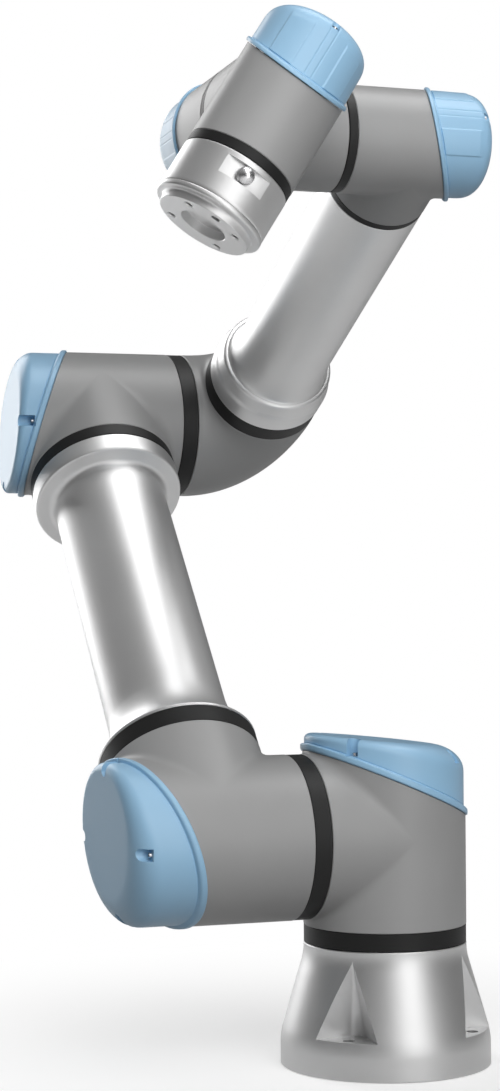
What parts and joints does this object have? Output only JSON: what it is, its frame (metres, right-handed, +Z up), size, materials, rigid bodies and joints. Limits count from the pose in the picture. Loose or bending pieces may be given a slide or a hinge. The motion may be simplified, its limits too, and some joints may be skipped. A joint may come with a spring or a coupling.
{
  "type": "collaborative robot arm",
  "caption": "Six-axis collaborative robot arm with T-shaped joint housings, round arm tubes, a flared base foot and a drilled tool flange.",
  "frame": {"origin": "centre of the base mounting face, on the base joint axis", "axes": "+Z up along the base joint axis; the shoulder and elbow axes lie along Y, with the upper arm offset towards -Y and leaning towards -X"},
  "size_m": [0.5536, 0.2901, 0.7102],
  "materials": {
    "grey_paint": "satin",
    "blue_cap": "satin",
    "black_seal": "matte",
    "bare_aluminium": "bead blasted",
    "screw_steel": "machined",
    "connector_chrome": "polished",
    "socket_plastic": "matte",
    "gear_steel": "ground",
    "stator_iron": "laminated",
    "rotor_steel": "ground",
    "board_green": "satin"
  },
  "bodies": {
    "base": {"base_foot": "bare_aluminium", "base_cable_socket": "socket_plastic"},
    "shoulder": {"base_joint_housing": "grey_paint", "base_joint_cap": "blue_cap", "base_cap_screws": "screw_steel", "base_seal_ring": "black_seal", "base_motor_stator": "stator_iron", "base_strain_gear": "gear_steel", "base_control_board": "board_green"},
    "upper_arm": {"shoulder_housing": "grey_paint", "shoulder_cap": "blue_cap", "shoulder_cap_screws": "screw_steel", "shoulder_seal_ring": "black_seal", "upper_arm_lower_ring": "black_seal", "upper_arm_tube": "bare_aluminium", "upper_arm_upper_ring": "black_seal", "elbow_housing": "grey_paint", "elbow_cap": "blue_cap", "elbow_cap_screws": "screw_steel", "elbow_seal_ring": "black_seal", "shoulder_motor_stator": "stator_iron", "shoulder_strain_gear": "gear_steel", "shoulder_control_board": "board_green", "elbow_motor_stator": "stator_iron", "elbow_strain_gear": "gear_steel", "elbow_control_board": "board_green"},
    "forearm": {"elbow_pipe_bend": "grey_paint", "forearm_lower_ring": "black_seal", "forearm_tube": "bare_aluminium", "forearm_upper_ring": "black_seal", "wrist_1_housing": "grey_paint", "wrist_1_cap": "blue_cap", "wrist_1_cap_screws": "screw_steel", "wrist_1_seal_ring": "black_seal", "wrist_1_motor_stator": "stator_iron", "wrist_1_strain_gear": "gear_steel", "wrist_1_control_board": "board_green"},
    "wrist_2": {"wrist_2_housing": "grey_paint", "wrist_2_cap": "blue_cap", "wrist_2_cap_screws": "screw_steel", "wrist_2_seal_ring": "black_seal", "wrist_2_motor_stator": "stator_iron", "wrist_2_strain_gear": "gear_steel", "wrist_2_control_board": "board_green"},
    "wrist_3": {"wrist_3_housing": "grey_paint", "wrist_3_cap": "blue_cap", "wrist_3_cap_screws": "screw_steel", "wrist_3_seal_ring": "black_seal", "wrist_3_motor_stator": "stator_iron", "wrist_3_strain_gear": "gear_steel", "wrist_3_control_board": "board_green"},
    "tool": {"tool_flange": "bare_aluminium", "tool_connector": "connector_chrome", "tool_force_sensor": "gear_steel"},
    "base_rotor": {"base_motor_rotor": "rotor_steel"},
    "shoulder_rotor": {"shoulder_motor_rotor": "rotor_steel"},
    "elbow_rotor": {"elbow_motor_rotor": "rotor_steel"},
    "wrist_1_rotor": {"wrist_1_motor_rotor": "rotor_steel"},
    "wrist_2_rotor": {"wrist_2_motor_rotor": "rotor_steel"},
    "wrist_3_rotor": {"wrist_3_motor_rotor": "rotor_steel"}
  },
  "joints": [
    {"name": "base_joint", "type": "hinge", "parent": "base", "child": "shoulder", "pos_m": [0, 0, 0.1625], "axis": [0, 0, 1], "range_deg": [-360, 360]},
    {"name": "shoulder_joint", "type": "hinge", "parent": "shoulder", "child": "upper_arm", "pos_m": [0, -0.138, 0.1625], "axis": [0, -1, 0], "range_deg": [-313.29, 406.71]},
    {"name": "elbow_joint", "type": "hinge", "parent": "upper_arm", "child": "forearm", "pos_m": [-0.29142, -0.138, 0.47185], "axis": [0, -1, 0], "range_deg": [-36.6, 243.3]},
    {"name": "wrist_1_joint", "type": "hinge", "parent": "forearm", "child": "wrist_2", "pos_m": [0.05921, -0.007, 0.64759], "axis": [0, -1, 0], "range_deg": [-245.1, 474.9]},
    {"name": "wrist_2_joint", "type": "hinge", "parent": "wrist_2", "child": "wrist_3", "pos_m": [0.05921, -0.1333, 0.64759], "axis": [0.9995, 0, 0.03], "range_deg": [-417.37, 302.63]},
    {"name": "wrist_3_joint", "type": "hinge", "parent": "wrist_3", "child": "tool", "pos_m": [0.15886, -0.1333, 0.65058], "axis": [0.0253, -0.5392, -0.8418], "range_deg": [-360, 360]},
    {"name": "base_rotor_spin", "type": "hinge", "parent": "shoulder", "child": "base_rotor", "pos_m": [0, 0, 0.1625], "axis": [0, 0, 1], "continuous": true},
    {"name": "shoulder_rotor_spin", "type": "hinge", "parent": "upper_arm", "child": "shoulder_rotor", "pos_m": [0, -0.138, 0.1625], "axis": [0, -1, 0], "continuous": true},
    {"name": "elbow_rotor_spin", "type": "hinge", "parent": "upper_arm", "child": "elbow_rotor", "pos_m": [-0.29142, -0.138, 0.47185], "axis": [0, -1, 0], "continuous": true},
    {"name": "wrist_1_rotor_spin", "type": "hinge", "parent": "forearm", "child": "wrist_1_rotor", "pos_m": [0.05921, -0.007, 0.64759], "axis": [0, -1, 0], "continuous": true},
    {"name": "wrist_2_rotor_spin", "type": "hinge", "parent": "wrist_2", "child": "wrist_2_rotor", "pos_m": [0.05921, -0.1333, 0.64759], "axis": [0.9995, 0, 0.03], "continuous": true},
    {"name": "wrist_3_rotor_spin", "type": "hinge", "parent": "wrist_3", "child": "wrist_3_rotor", "pos_m": [0.15886, -0.1333, 0.65058], "axis": [0.0253, -0.5392, -0.8418], "continuous": true}
  ],
  "couplings": [
    {"joint": "base_rotor_spin", "follows": "base_joint", "ratio": 101},
    {"joint": "shoulder_rotor_spin", "follows": "shoulder_joint", "ratio": 101},
    {"joint": "elbow_rotor_spin", "follows": "elbow_joint", "ratio": -101},
    {"joint": "wrist_1_rotor_spin", "follows": "wrist_1_joint", "ratio": -101},
    {"joint": "wrist_2_rotor_spin", "follows": "wrist_2_joint", "ratio": -101},
    {"joint": "wrist_3_rotor_spin", "follows": "wrist_3_joint", "ratio": -101}
  ]
}
